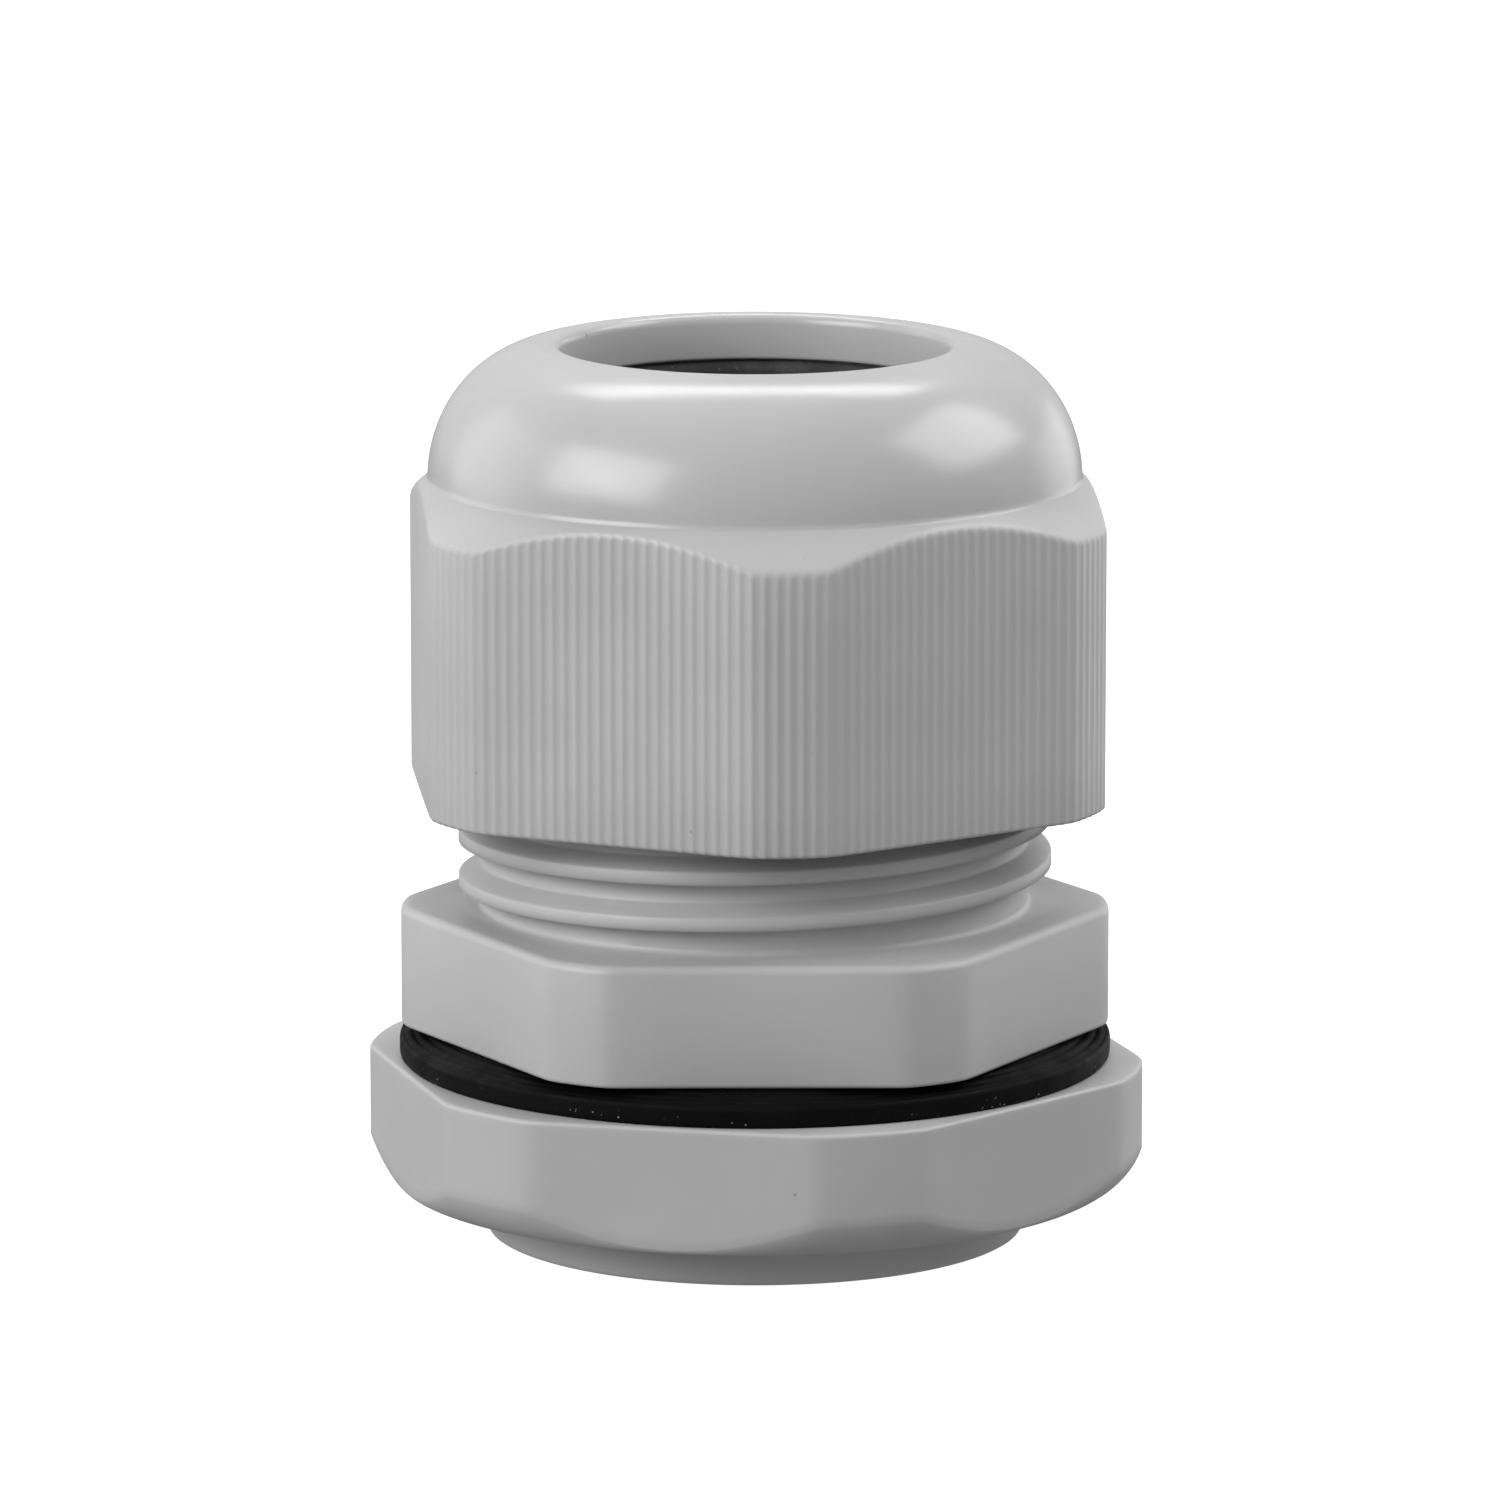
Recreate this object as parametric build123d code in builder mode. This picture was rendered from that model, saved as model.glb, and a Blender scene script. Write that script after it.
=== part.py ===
"""Cable gland in light grey nylon, entry thread size 29, for cable of 18 to 25 mm.

The origin is at the centre of the bottom end of the entry thread, and +Z runs
along the cable, towards the dome nut. Millimetres. The dome nut stands loose,
7.5 mm above the body's hexagon, and the locknut is run up against the washer.

The two outside threads are plain rings of the real pitch, crest and root, and the
nuts' bores are plain and clear the crests, so that both nuts can run their full way.
"""

import os
from math import cos, radians, sin, tan

from build123d import *

os.makedirs("parts", exist_ok=True)

# ---- Heights along the cable axis -----------------------------------------
LOCKNUT_BOTTOM = 3.45
WASHER_BOTTOM = 11.6
HEX_BOTTOM = 13.7
HEX_TOP = 21.6
NUT_BOTTOM = 29.1
CLAW_ROOT = 35.2
DOME_BASE = 49.6
DOME_TOP = 58.35

# ---- Gland body -------------------------------------------------------------
BODY_FLATS = 42.0
BODY_CORNER_R = 23.08
BODY_CORNER_ANGLE = 0.4
HEX_CHAMFER = 0.25
PASSAGE_R = 13.8
PASSAGE_CHAMFER = 0.6
SEAT_R = 15.0
SEAT_HEIGHT = 33.0

# ---- Entry thread (fine) and nut thread (coarse) ----------------------------
ENTRY_PITCH = 1.5875
ENTRY_CREST_R = 18.45
ENTRY_ROOT_R = 17.6
ENTRY_CREST = 0.30
ENTRY_FOOT = 1.35
ENTRY_START = 3.4
LEAD_R = 17.55
LEAD_CHAMFER = 0.4

RING_SUNK = 0.5
NUT_PITCH = 3.0
NUT_CREST_R = 19.3
NUT_ROOT_R = 17.8
NUT_CREST = 0.9
NUT_LOW_FLANK = 0.2
NUT_HIGH_FLANK = 0.7
NUT_THREAD_START = 23.3
NUT_THREAD_TOP = 34.7
MOUTH_STEP = 0.2

# ---- Claw: sixteen fingers moulded round the body's mouth -------------------
FINGERS = 16
FINGER_R = 16.15
FINGER_HALF_THICK = 0.75
FINGER_HEIGHT = 12.2
FINGER_ROOT_WIDTH = 4.8
FINGER_TIP_WIDTH = 3.6
FINGER_TIP_CHAMFER = 0.4
ROOT_PLAY = 0.07

# ---- Dome nut ---------------------------------------------------------------
DOME_NUT_FLATS = 43.7
DOME_NUT_CORNER_R = 23.9
DOME_NUT_CORNER_ANGLE = 35.5
DOME_BASE_R = 21.2
DOME_CENTRE_R = 13.3
SHOULDER_STEP = 0.1
MOUTH_R = 12.6
MOUTH_LAND = 3.0
LIP_R = 0.65
SHOULDER_SLOPE = 0.88
CONE_SLOPE = 0.406
CONE_TOP_R = 13.95
CONE_TOP = 53.6
DOME_NUT_PLAY = 0.2
DOME_NUT_RIM = 0.6
BORE_TOP = 41.0

# ---- Seal, washer and locknut -----------------------------------------------
SEAL_R = 12.5
SEAL_GROOVE = 0.45
SEAL_GROOVES = 5
SEAL_PLAY = 0.15
SEAL_OUTER_R = 15.1
SEAL_TOP = 55.2
COLLAR_BEVEL = 1.0
COLLAR_GAP = 0.5
COLLAR_PLAY = 0.2
WASHER_R = 23.2
WASHER_BORE_R = 18.6
WASHER_CHAMFER = 0.25
LOCKNUT_FLATS = 47.3
LOCKNUT_CORNER_R = 25.43
LOCKNUT_CORNER_ANGLE = 47.0
LOCKNUT_PLAY = 0.15
LOCKNUT_TURNED_R = 23.5
LOCKNUT_TURNED_ANGLE = 46
LOCKNUT_RIM = 0.5


def axial_plane(angle, height=0.0):
    """The half plane through the axis at an angle: local X is the radius, local Y is up."""
    turn = radians(angle)
    return Plane(
        origin=(0, 0, height),
        x_dir=(cos(turn), sin(turn), 0),
        z_dir=(sin(turn), -cos(turn), 0),
    )


def hex_prism(flats, corner_r, corner_angle, bottom, top):
    """A hexagonal bar whose corners are rounded to one common circle."""
    with BuildPart() as prism:
        with BuildSketch(Plane.XY.offset(bottom)):
            RegularPolygon(flats / 2, 6, major_radius=False, rotation=corner_angle)
            Circle(corner_r, mode=Mode.INTERSECT)
        extrude(amount=top - bottom)
    return prism.part


def thread_rings(root_r, crest_r, low_flank, crest, high_flank, feet):
    """One ring for each turn of a thread, sunk a little into its core, at each foot's height."""
    sunk = root_r - RING_SUNK
    with BuildPart() as rings:
        with BuildSketch(Plane.XZ):
            for foot in feet:
                with BuildLine():
                    Polyline(
                        (sunk, foot),
                        (root_r, foot),
                        (crest_r, foot + low_flank),
                        (crest_r, foot + low_flank + crest),
                        (root_r, foot + low_flank + crest + high_flank),
                        (sunk, foot + low_flank + crest + high_flank),
                        close=True,
                    )
                make_face()
        revolve(axis=Axis.Z)
    return rings.part


def cone_r(height):
    """The dome nut's inner cone, which bends the fingers inwards."""
    return CONE_TOP_R + (CONE_TOP - height) * CONE_SLOPE


# ---- Gland body: two threads and a hexagon on one bored core, with the claw's sockets
entry_flank = (ENTRY_FOOT - ENTRY_CREST) / 2
entry_turns = int((HEX_BOTTOM - ENTRY_START) / ENTRY_PITCH)
entry_feet = [ENTRY_START + turn * ENTRY_PITCH for turn in range(entry_turns)]
nut_turns = int((NUT_THREAD_TOP - NUT_THREAD_START) / NUT_PITCH) + 1
nut_feet = [NUT_THREAD_START + turn * NUT_PITCH for turn in range(nut_turns)]
body_hex = hex_prism(BODY_FLATS, BODY_CORNER_R, BODY_CORNER_ANGLE, HEX_BOTTOM, HEX_TOP)
entry_rings = thread_rings(
    ENTRY_ROOT_R, ENTRY_CREST_R, entry_flank, ENTRY_CREST, entry_flank, entry_feet
)
nut_rings = thread_rings(
    NUT_ROOT_R, NUT_CREST_R, NUT_LOW_FLANK, NUT_CREST, NUT_HIGH_FLANK, nut_feet
)

with BuildPart() as gland_body:
    add(body_hex)
    chamfer(gland_body.edges().group_by(Axis.Z)[-1], HEX_CHAMFER)
    with BuildSketch():
        Circle(LEAD_R)
    extrude(amount=ENTRY_START)
    chamfer(gland_body.edges().group_by(Axis.Z)[0], LEAD_CHAMFER)
    with BuildSketch(Plane.XY.offset(ENTRY_START)):
        Circle(ENTRY_ROOT_R)
    extrude(amount=HEX_BOTTOM - ENTRY_START)
    with BuildSketch(Plane.XY.offset(HEX_TOP)):
        Circle(NUT_ROOT_R)
    extrude(amount=NUT_THREAD_TOP - HEX_TOP)
    with BuildSketch(Plane.XY.offset(NUT_THREAD_TOP)):
        Circle(NUT_ROOT_R - MOUTH_STEP)
    extrude(amount=CLAW_ROOT - NUT_THREAD_TOP)
    add(entry_rings)
    add(nut_rings)
    with BuildSketch(Plane.XZ):
        with BuildLine():
            Polyline(
                (0, 0),
                (PASSAGE_R + PASSAGE_CHAMFER, 0),
                (PASSAGE_R, PASSAGE_CHAMFER),
                (PASSAGE_R, SEAT_HEIGHT),
                (SEAT_R, SEAT_HEIGHT),
                (SEAT_R, CLAW_ROOT),
                (0, CLAW_ROOT),
                close=True,
            )
        make_face()
    revolve(axis=Axis.Z, mode=Mode.SUBTRACT)
    for finger in range(FINGERS):
        root = axial_plane(finger * 360 / FINGERS, CLAW_ROOT)
        with BuildSketch(root):
            with Locations((FINGER_R, 0)):
                Circle(FINGER_HALF_THICK + ROOT_PLAY)
        extrude(amount=FINGER_ROOT_WIDTH / 2 + ROOT_PLAY, both=True, mode=Mode.SUBTRACT)
gland_body.part.label = "gland_body"
export_step(gland_body.part, "parts/gland_body.step")

# ---- Claw fingers: each bends about a rounded root, and its tip rides on the cone
bevel_drop = FINGER_HALF_THICK / CONE_SLOPE
inner_side = FINGER_R - FINGER_HALF_THICK
outer_side = FINGER_R + FINGER_HALF_THICK
for finger in range(FINGERS):
    side = axial_plane(finger * 360 / FINGERS, CLAW_ROOT)
    with BuildPart() as claw_finger:
        with BuildSketch(side):
            with BuildLine():
                ThreePointArc(
                    (inner_side, 0),
                    (FINGER_R, -FINGER_HALF_THICK),
                    (outer_side, 0),
                )
                Polyline(
                    (outer_side, 0),
                    (outer_side, FINGER_HEIGHT - bevel_drop),
                    (FINGER_R, FINGER_HEIGHT),
                    (FINGER_R - FINGER_HALF_THICK * 0.6, FINGER_HEIGHT),
                    (inner_side, FINGER_HEIGHT - FINGER_TIP_CHAMFER),
                    (inner_side, 0),
                )
            make_face()
        extrude(amount=FINGER_ROOT_WIDTH / 2, both=True)
        face_on = Plane(origin=(0, 0, CLAW_ROOT), x_dir=-side.z_dir, z_dir=side.x_dir)
        with BuildSketch(face_on):
            with BuildLine():
                Polyline(
                    (-FINGER_ROOT_WIDTH / 2, -FINGER_HALF_THICK),
                    (FINGER_ROOT_WIDTH / 2, -FINGER_HALF_THICK),
                    (FINGER_ROOT_WIDTH / 2, FINGER_HALF_THICK),
                    (FINGER_TIP_WIDTH / 2, FINGER_HEIGHT),
                    (-FINGER_TIP_WIDTH / 2, FINGER_HEIGHT),
                    (-FINGER_ROOT_WIDTH / 2, FINGER_HALF_THICK),
                    close=True,
                )
            make_face()
        extrude(amount=NUT_CREST_R, mode=Mode.INTERSECT)
    name = f"claw_finger_{finger + 1:02d}"
    claw_finger.part.label = name
    export_step(claw_finger.part, f"parts/{name}.step")

# ---- Seal insert: a ribbed sleeve with a collar that sits over the fingers --
collar_bottom = CLAW_ROOT + FINGER_HEIGHT + COLLAR_GAP
collar_end = SEAL_TOP - COLLAR_BEVEL
foot_r = SEAT_R - SEAL_PLAY
groove_pitch = (SEAL_TOP - SEAT_HEIGHT) / (SEAL_GROOVES + 1)
with BuildPart() as seal_insert:
    with BuildSketch(Plane.XZ):
        with BuildLine():
            Polyline(
                (SEAL_R, SEAT_HEIGHT),
                (foot_r, SEAT_HEIGHT),
                (foot_r, CLAW_ROOT),
                (SEAL_OUTER_R, CLAW_ROOT + FINGER_HALF_THICK),
                (SEAL_OUTER_R, collar_bottom),
                (cone_r(collar_bottom) - COLLAR_PLAY, collar_bottom),
                (cone_r(collar_end) - COLLAR_PLAY, collar_end),
                (CONE_TOP_R - 3 * COLLAR_PLAY, SEAL_TOP),
                (SEAL_R + SEAL_GROOVE, SEAL_TOP),
                (SEAL_R, SEAL_TOP - SEAL_GROOVE),
                close=True,
            )
        make_face()
        for groove in range(1, SEAL_GROOVES + 1):
            with Locations((SEAL_R, SEAT_HEIGHT + groove * groove_pitch)):
                Circle(SEAL_GROOVE, mode=Mode.SUBTRACT)
    revolve(axis=Axis.Z)
seal_insert.part.label = "seal_insert"
export_step(seal_insert.part, "parts/seal_insert.step")

# ---- Dome nut: domed hexagon with an inner cone above the bore for the coarse thread
shoulder_r = DOME_BASE_R + SHOULDER_STEP
skirt_r = DOME_NUT_CORNER_R + 1
skirt_top = DOME_BASE - (skirt_r - shoulder_r) * SHOULDER_SLOPE
bore_r = NUT_CREST_R + DOME_NUT_PLAY
dome_nut_blank = hex_prism(
    DOME_NUT_FLATS, DOME_NUT_CORNER_R, DOME_NUT_CORNER_ANGLE, NUT_BOTTOM, DOME_TOP
)
with BuildPart() as dome_nut:
    add(dome_nut_blank)
    with BuildSketch(Plane.XZ):
        with BuildLine():
            Line((MOUTH_R, NUT_BOTTOM), (skirt_r, NUT_BOTTOM))
            Line((skirt_r, NUT_BOTTOM), (skirt_r, skirt_top))
            Line((skirt_r, skirt_top), (shoulder_r, DOME_BASE))
            Line((shoulder_r, DOME_BASE), (DOME_BASE_R, DOME_BASE))
            EllipticalCenterArc(
                (DOME_CENTRE_R, DOME_BASE),
                DOME_BASE_R - DOME_CENTRE_R,
                DOME_TOP - DOME_BASE,
            )
            Line((DOME_CENTRE_R, DOME_TOP), (MOUTH_R + LIP_R, DOME_TOP))
            RadiusArc((MOUTH_R + LIP_R, DOME_TOP), (MOUTH_R, DOME_TOP - LIP_R), -LIP_R)
            Line((MOUTH_R, DOME_TOP - LIP_R), (MOUTH_R, NUT_BOTTOM))
        make_face()
    revolve(axis=Axis.Z, mode=Mode.INTERSECT)
    with BuildSketch(Plane.XZ):
        with BuildLine():
            Polyline(
                (0, NUT_BOTTOM),
                (bore_r + DOME_NUT_RIM, NUT_BOTTOM),
                (bore_r, NUT_BOTTOM + DOME_NUT_RIM),
                (bore_r, BORE_TOP),
                (cone_r(BORE_TOP), BORE_TOP),
                (CONE_TOP_R, CONE_TOP),
                (CONE_TOP_R, DOME_TOP - MOUTH_LAND),
                (0, DOME_TOP - MOUTH_LAND),
                close=True,
            )
        make_face()
    revolve(axis=Axis.Z, mode=Mode.SUBTRACT)
dome_nut.part.label = "dome_nut"
export_step(dome_nut.part, "parts/dome_nut.step")

# ---- Sealing washer: flat rubber ring with eased outer edges ----------------
with BuildPart() as sealing_washer:
    with BuildSketch(Plane.XY.offset(WASHER_BOTTOM)):
        Circle(WASHER_R)
        Circle(WASHER_BORE_R, mode=Mode.SUBTRACT)
    extrude(amount=HEX_BOTTOM - WASHER_BOTTOM)
    outer_edges = sealing_washer.edges().filter_by(GeomType.CIRCLE).sort_by(SortBy.RADIUS)[-2:]
    chamfer(outer_edges, WASHER_CHAMFER)
sealing_washer.part.label = "sealing_washer"
export_step(sealing_washer.part, "parts/sealing_washer.step")

# ---- Locknut: hexagonal ring whose lower corners are turned off to a cone ---
locknut_blank = hex_prism(
    LOCKNUT_FLATS, LOCKNUT_CORNER_R, LOCKNUT_CORNER_ANGLE, LOCKNUT_BOTTOM, WASHER_BOTTOM
)
locknut_bore_r = ENTRY_CREST_R + LOCKNUT_PLAY
turned_depth = (LOCKNUT_CORNER_R - LOCKNUT_TURNED_R) * tan(radians(LOCKNUT_TURNED_ANGLE))
with BuildPart() as locknut:
    add(locknut_blank)
    with BuildSketch(Plane.XZ):
        with BuildLine():
            Polyline(
                (0, LOCKNUT_BOTTOM),
                (LOCKNUT_TURNED_R, LOCKNUT_BOTTOM),
                (LOCKNUT_CORNER_R, LOCKNUT_BOTTOM + turned_depth),
                (LOCKNUT_CORNER_R, WASHER_BOTTOM),
                (0, WASHER_BOTTOM),
                close=True,
            )
        make_face()
    revolve(axis=Axis.Z, mode=Mode.INTERSECT)
    with BuildSketch(Plane.XZ):
        with BuildLine():
            Polyline(
                (0, LOCKNUT_BOTTOM),
                (locknut_bore_r + LOCKNUT_RIM, LOCKNUT_BOTTOM),
                (locknut_bore_r, LOCKNUT_BOTTOM + LOCKNUT_RIM),
                (locknut_bore_r, WASHER_BOTTOM - LOCKNUT_RIM),
                (locknut_bore_r + LOCKNUT_RIM, WASHER_BOTTOM),
                (0, WASHER_BOTTOM),
                close=True,
            )
        make_face()
    revolve(axis=Axis.Z, mode=Mode.SUBTRACT)
locknut.part.label = "locknut"
export_step(locknut.part, "parts/locknut.step")
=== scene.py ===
"""Cable gland in light grey nylon: the looks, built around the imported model.

Every piece is a numpy surface in millimetres, turned into a mesh in metres. Heights come
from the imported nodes' boxes, so that each piece stands where its solid stands.
"""

import math

import bmesh
import bpy
import numpy as np
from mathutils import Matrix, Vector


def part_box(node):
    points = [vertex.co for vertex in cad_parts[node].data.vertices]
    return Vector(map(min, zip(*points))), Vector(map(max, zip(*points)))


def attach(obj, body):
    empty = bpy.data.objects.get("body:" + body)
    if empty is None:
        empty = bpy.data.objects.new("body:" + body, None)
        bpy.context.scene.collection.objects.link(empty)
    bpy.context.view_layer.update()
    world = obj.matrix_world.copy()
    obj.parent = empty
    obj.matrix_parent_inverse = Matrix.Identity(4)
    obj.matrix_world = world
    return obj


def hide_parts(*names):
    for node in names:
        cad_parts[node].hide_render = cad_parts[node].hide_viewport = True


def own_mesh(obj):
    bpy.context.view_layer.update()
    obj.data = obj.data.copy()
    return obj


MM = 0.001
TAU = 2 * math.pi

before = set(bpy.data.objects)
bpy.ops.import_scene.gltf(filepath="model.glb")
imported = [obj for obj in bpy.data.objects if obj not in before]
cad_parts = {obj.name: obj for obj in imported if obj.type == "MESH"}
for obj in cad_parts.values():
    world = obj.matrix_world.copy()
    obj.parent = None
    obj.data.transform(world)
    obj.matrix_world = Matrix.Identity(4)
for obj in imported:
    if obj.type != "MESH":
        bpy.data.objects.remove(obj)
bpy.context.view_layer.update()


def heights(node):
    """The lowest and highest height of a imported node, in millimetres."""
    low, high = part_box(node)
    return low[2] / MM, high[2] / MM


def width(node):
    """The widest half-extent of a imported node, in millimetres."""
    low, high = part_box(node)
    return max(high[0] - low[0], high[1] - low[1]) / 2 / MM


# ---- Sizes, in millimetres --------------------------------------------------
BODY_BOTTOM, CLAW_ROOT = heights("gland_body")
WASHER_BOTTOM, HEX_BOTTOM = heights("sealing_washer")
LOCKNUT_BOTTOM, LOCKNUT_TOP = heights("locknut")
NUT_BOTTOM, DOME_TOP = heights("dome_nut")
SEAL_BOTTOM, SEAL_TOP = heights("seal_insert")
WASHER_R = width("sealing_washer")

BODY_FLATS = 42.0
BODY_CORNER_R = 23.08
BODY_CORNER_ANGLE = 0.4
HEX_HEIGHT = 7.9
HEX_LOW_ROUND = 0.3
HEX_HIGH_ROUND = 0.55
PASSAGE_R = 13.8
LEAD_R = 17.55
LEAD_HEIGHT = 3.4
SEAT_R = 15.0

ENTRY_PITCH = 1.5875
ENTRY_ROOT_R = 17.6
ENTRY_CREST_R = 18.45
ENTRY_FLANK = 0.525
ENTRY_CREST = 0.30

NUT_PITCH = 3.0
NUT_PHASE = 18.05
NUT_ROOT_R = 17.8
NUT_CREST_R = 19.3
NUT_LOW_FLANK = 0.2
NUT_CREST = 0.9
NUT_HIGH_FLANK = 0.7
NUT_THREAD_TOP = 34.7
NUT_START = 21.7
NUT_FINISH = 32.5
# A nut's thread stands off the body's by a clearance, with some play above and below.
NUT_CLEARANCE = 0.2
NUT_PLAY = 0.1
ENTRY_CLEARANCE = 0.15
ENTRY_PLAY = 0.05
# The rounding of a thread's edges, as a share of its depth, and how far along its pitch it
# takes to grow out or die away.
THREAD_ROUNDING = 0.05
THREAD_FADE = 0.25

DOME_NUT_FLATS = 43.7
DOME_NUT_CORNER_R = 23.9
DOME_NUT_CORNER_ANGLE = 35.5
DOME_HEIGHT = 8.75
DOME_BASE_R = 21.2
DOME_CENTRE_R = 13.3
SHOULDER_SLOPE = 0.88
MOUTH_R = 12.6
DOME_BASE = DOME_TOP - DOME_HEIGHT
MOUTH_LAND = 3.0
LIP_R = 0.65
CONE_SLOPE = 0.406
CONE_TOP_R = 13.95
CONE_TOP = 53.6
BORE_TOP = 41.0
NUT_LOW_ROUND = 0.3
SHOULDER_ROUND = 0.42
RIBS = 180
RIB_DEPTH = 0.075
RIB_SHARPNESS = 1.6

SEAL_R = 12.5
SEAL_OUTER_R = 15.1
SEAL_GROOVES = 5
SEAL_GROOVE_HALF_WIDTH = 0.6
SEAL_GROOVE_DEPTH = 0.45
COLLAR_BEVEL = 1.0
LOCKNUT_FLATS = 47.3
LOCKNUT_CORNER_R = 25.43
LOCKNUT_CORNER_ANGLE = 47.0
LOCKNUT_TURNED_R = 23.5
TURNED_SLOPE = math.tan(math.radians(46))
TURNED_SPREAD = 1.12    # the turned-off corner reaches this much higher, for its soft edge
LOCKNUT_HIGH_ROUND = 0.25
WASHER_BORE_R = 18.6
WASHER_FALL = 0.62
WASHER_RIDGE_PITCH = 0.62
WASHER_RIDGE_DEPTH = 0.09

FINGERS = 16
FINGER_R = 16.15
FINGER_THICK = 1.5
FINGER_HEIGHT = 12.2
FINGER_ROOT_WIDTH = 4.8
FINGER_TIP_WIDTH = 3.6
FINGER_EDGE = 0.22

COLUMNS = 360
RIB_COLUMNS = 4    # times as many columns where the ribs are


# ---- Meshes -----------------------------------------------------------------
def mesh_piece(name, points, faces):
    """A smooth-shaded object from points in millimetres and lists of point numbers."""
    data = bpy.data.meshes.new(name)
    data.from_pydata((points * MM).tolist(), [], faces)
    data.update()
    piece = bpy.data.objects.new(name, data)
    bpy.context.scene.collection.objects.link(piece)
    return piece


def weld(piece, gap=0.0004):
    """Joins points that lie together, drops faces with no area and turns all faces outwards."""
    mesh = bmesh.new()
    mesh.from_mesh(piece.data)
    bmesh.ops.remove_doubles(mesh, verts=mesh.verts, dist=gap * MM)
    bmesh.ops.dissolve_degenerate(mesh, edges=mesh.edges, dist=gap * MM)
    bmesh.ops.recalc_face_normals(mesh, faces=mesh.faces)
    mesh.to_mesh(piece.data)
    mesh.free()
    piece.data.shade_smooth()
    return piece


class Shell:
    """A closed ring built from strips of rows, each row one turn of points about the axis."""

    def __init__(self):
        self.blocks = []
        self.faces = []
        self.count = 0

    def strip(self, grid):
        """Adds rows of points (rows, columns, 3), joined to each other and round the turn."""
        rows, columns = grid.shape[:2]
        first = self.count
        self.blocks.append(grid.reshape(-1, 3))
        self.count += rows * columns
        index = first + np.arange(rows * columns).reshape(rows, columns)
        ahead = np.roll(index, -1, axis=1)
        quads = np.stack([index[:-1], ahead[:-1], ahead[1:], index[1:]], -1)
        self.faces += quads.reshape(-1, 4).tolist()
        return index

    def thread(self, grid, turn_rows):
        """Adds a helical strip: its last column joins the first, one turn of rows further up."""
        rows, columns = grid.shape[:2]
        first = self.count
        self.blocks.append(grid.reshape(-1, 3))
        self.count += rows * columns
        index = first + np.arange(rows * columns).reshape(rows, columns)
        body = np.stack([index[:-1, :-1], index[:-1, 1:], index[1:, 1:], index[1:, :-1]], -1)
        self.faces += body.reshape(-1, 4).tolist()
        low, high = index[:-1 - turn_rows, -1], index[1:-turn_rows, -1]
        next_low, next_high = index[turn_rows:-1, 0], index[turn_rows + 1:, 0]
        seam = np.stack([low, next_low, next_high, high], -1)
        self.faces += seam.tolist()
        return index

    def join(self, row_a, row_b):
        """Joins two rows of points; one may have a whole number of times more points."""
        if len(row_a) == len(row_b):
            quads = np.stack([row_a, np.roll(row_a, -1), np.roll(row_b, -1), row_b], -1)
            self.faces += quads.tolist()
            return
        coarse, fine = sorted((row_a, row_b), key=len)
        step = len(fine) // len(coarse)
        count = np.arange(len(coarse))
        lanes = [fine[(count * step + k) % len(fine)] for k in range(step, -1, -1)]
        self.faces += np.stack([coarse, np.roll(coarse, -1)] + lanes, -1).tolist()

    def piece(self, name):
        """The welded object."""
        return weld(mesh_piece(name, np.concatenate(self.blocks), self.faces))


# ---- Curves and contours ----------------------------------------------------
def soft_min(a, b, blend):
    """The lesser of two lengths, rounded over where they meet."""
    return (a + b - np.sqrt((a - b) ** 2 + blend ** 2)) / 2


def hex_radius(theta, flats, corner_r, corner_angle, blend=0.25):
    """A hexagon's radius at each angle, its corners rounded off by one circle."""
    across = (theta - math.radians(corner_angle)) % (TAU / 6) - TAU / 12
    return soft_min(flats / 2 / np.cos(across), corner_r, blend)


def even_angles(contour, columns):
    """Angles that lie the same distance apart along a closed contour of radius by angle."""
    dense = np.linspace(0, TAU, 7201)
    r = contour(dense)
    x, y = r * np.cos(dense), r * np.sin(dense)
    along = np.concatenate([[0], np.cumsum(np.hypot(np.diff(x), np.diff(y)))])
    return np.interp(np.arange(columns) / columns * along[-1], along, dense)


def round_corner(before, corner, after, radius, steps=4):
    """Points of a quadratic curve that rounds the corner between two straight runs."""
    before, corner, after = (np.array(p, float) for p in (before, corner, after))
    inward = (before - corner) / np.linalg.norm(before - corner)
    outward = (after - corner) / np.linalg.norm(after - corner)
    t = np.linspace(0, 1, steps + 1)[:, None]
    start, end = corner + inward * radius, corner + outward * radius
    return (1 - t) ** 2 * start + 2 * t * (1 - t) * corner + t ** 2 * end


def outline(points, rounding, closed=False):
    """A run of (radius, height) points with each corner rounded by its own radius."""
    count = len(points)
    rows = []
    for i, (point, radius) in enumerate(zip(points, rounding)):
        end = not closed and i in (0, count - 1)
        if end or radius == 0:
            rows.append(np.array([point], float))
        else:
            rows.append(round_corner(points[i - 1], point, points[(i + 1) % count], radius))
    return np.concatenate(rows)


def turned(profile, theta):
    """A grid of points: (radius, height) rows turned about the axis at each angle."""
    r = np.broadcast_to(profile[:, 0, None], (len(profile), len(theta)))
    z = np.broadcast_to(profile[:, 1, None], (len(profile), len(theta)))
    return np.stack([r * np.cos(theta), r * np.sin(theta), z], -1)


def contour_rows(radius, insets, levels, theta):
    """A grid of points: a contour drawn in by an inset at each level, for edges and flats."""
    insets, levels = np.asarray(insets, float), np.asarray(levels, float)
    r = radius[None, :] - insets[:, None]
    z = np.broadcast_to(levels[:, None], r.shape)
    return np.stack([r * np.cos(theta), r * np.sin(theta), z], -1)


def edge_round(radius, level, direction, steps=5):
    """Insets and levels of a quarter round at the end of a wall, from wall to face."""
    turn = np.linspace(0, math.pi / 2, steps)
    return radius * (1 - np.cos(turn)), level - direction * radius * (1 - np.sin(turn))


def smooth_step(x):
    """0 below 0, 1 above 1 and an S curve between."""
    x = np.clip(x, 0, 1)
    return x * x * (3 - 2 * x)


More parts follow.
